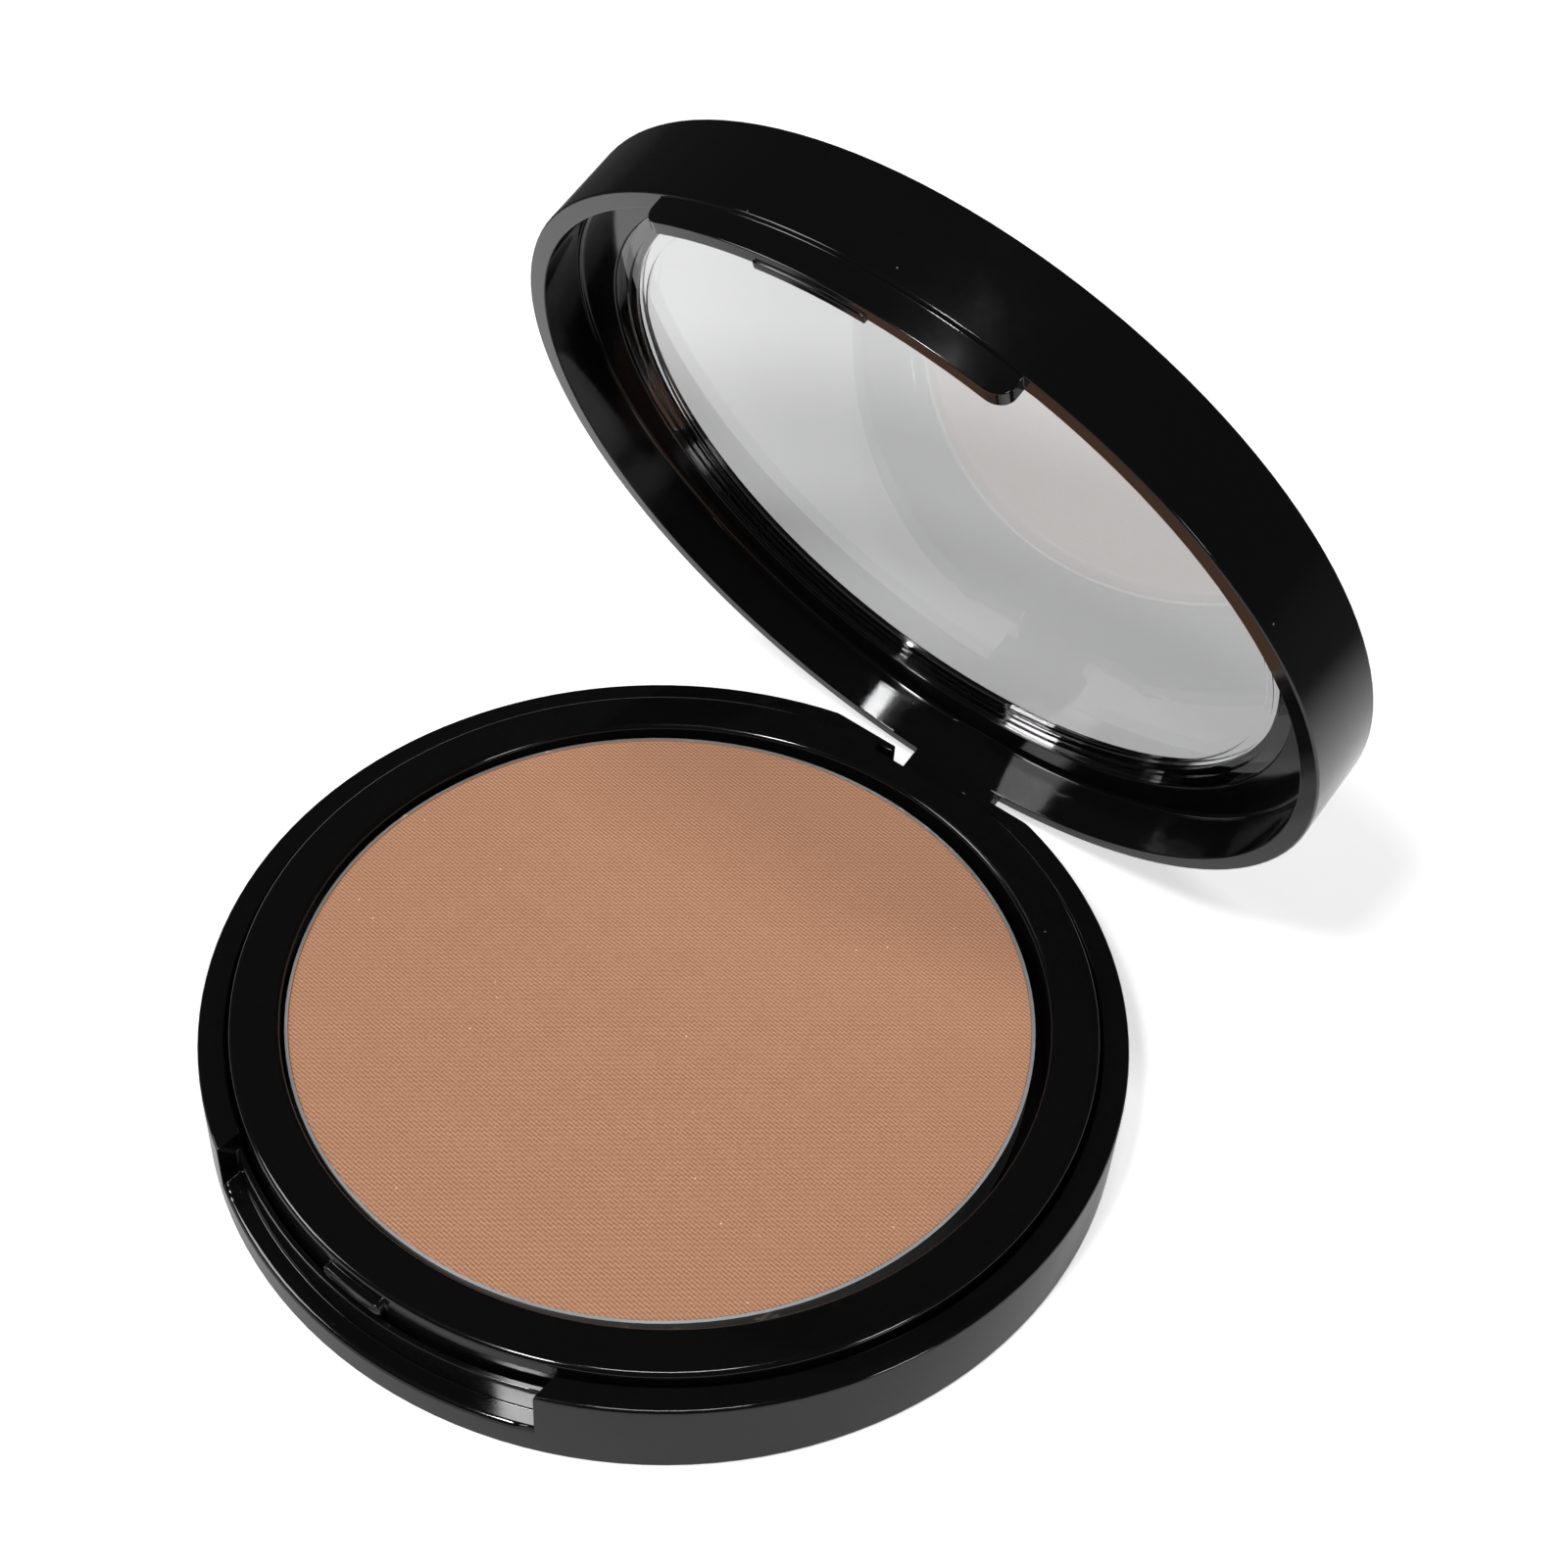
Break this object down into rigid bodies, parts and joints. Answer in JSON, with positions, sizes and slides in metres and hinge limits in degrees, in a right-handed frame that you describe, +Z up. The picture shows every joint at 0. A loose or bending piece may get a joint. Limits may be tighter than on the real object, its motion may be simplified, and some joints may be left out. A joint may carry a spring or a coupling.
{
  "type": "powder compact",
  "caption": "Round black snap compact with a clear-window lid on a pin hinge, a front opening notch and a pan of pressed powder.",
  "frame": {"origin": "centre of the case on its flat resting face", "axes": "+Z up, +Y towards the hinge, -Y towards the opening notch; the lid stands open at rest"},
  "size_m": [0.0756, 0.0858, 0.0751],
  "materials": {
    "case_black": "polished black moulding",
    "holder_black": "polished black moulding",
    "lid_black": "polished black moulding",
    "window_clear": "clear polished moulding",
    "pan_aluminium": "drawn sheet",
    "powder": "matte pressed powder with a fine cloth texture",
    "adhesive": "set hot-melt glue",
    "label": "plain paper label",
    "pin_steel": "drawn wire"
  },
  "bodies": {
    "base": {"base_shell": "case_black", "pan_holder": "holder_black", "powder_pan": "pan_aluminium", "pressed_powder": "powder", "pan_adhesive": "adhesive", "base_label": "label", "hinge_pin": "pin_steel"},
    "lid": {"lid_frame": "lid_black", "lid_window": "window_clear"}
  },
  "joints": [
    {"name": "lid_hinge", "type": "hinge", "parent": "base", "child": "lid", "pos_m": [0, 0.0352, 0.00235], "axis": [1, 0, 0], "range_deg": [-16, 69]}
  ]
}
